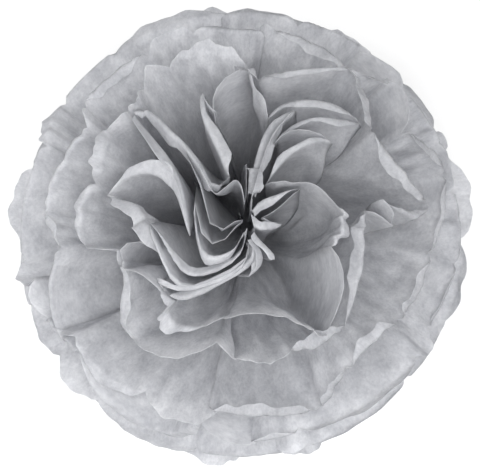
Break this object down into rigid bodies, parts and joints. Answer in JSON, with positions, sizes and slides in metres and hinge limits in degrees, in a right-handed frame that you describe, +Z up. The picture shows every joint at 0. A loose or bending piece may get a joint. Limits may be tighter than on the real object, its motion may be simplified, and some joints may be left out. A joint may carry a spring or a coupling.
{
  "type": "tissue paper pom pom",
  "caption": "Round flower-like ball of pleated grey tissue sheets, wired at the middle and fluffed up and down; rests on its lowest petals.",
  "frame": {"origin": "centre of the bounding box at the surface the pom pom rests on", "axes": "+Z up along the axis through the tie, towards the open heart; +Y towards the wire's twisted tail"},
  "size_m": [0.2492, 0.2492, 0.2372],
  "materials": {
    "grey_tissue": "matt, thin enough to let light through",
    "tie_steel": "drawn wire"
  },
  "bodies": {
    "root": {"upper_sheet_1": "grey_tissue", "upper_sheet_2": "grey_tissue", "upper_sheet_3": "grey_tissue", "upper_sheet_4": "grey_tissue", "upper_sheet_5": "grey_tissue", "upper_sheet_6": "grey_tissue", "lower_sheet_1": "grey_tissue", "lower_sheet_2": "grey_tissue", "lower_sheet_3": "grey_tissue", "lower_sheet_4": "grey_tissue", "lower_sheet_5": "grey_tissue", "lower_sheet_6": "grey_tissue", "tie_wire": "tie_steel"}
  },
  "joints": []
}
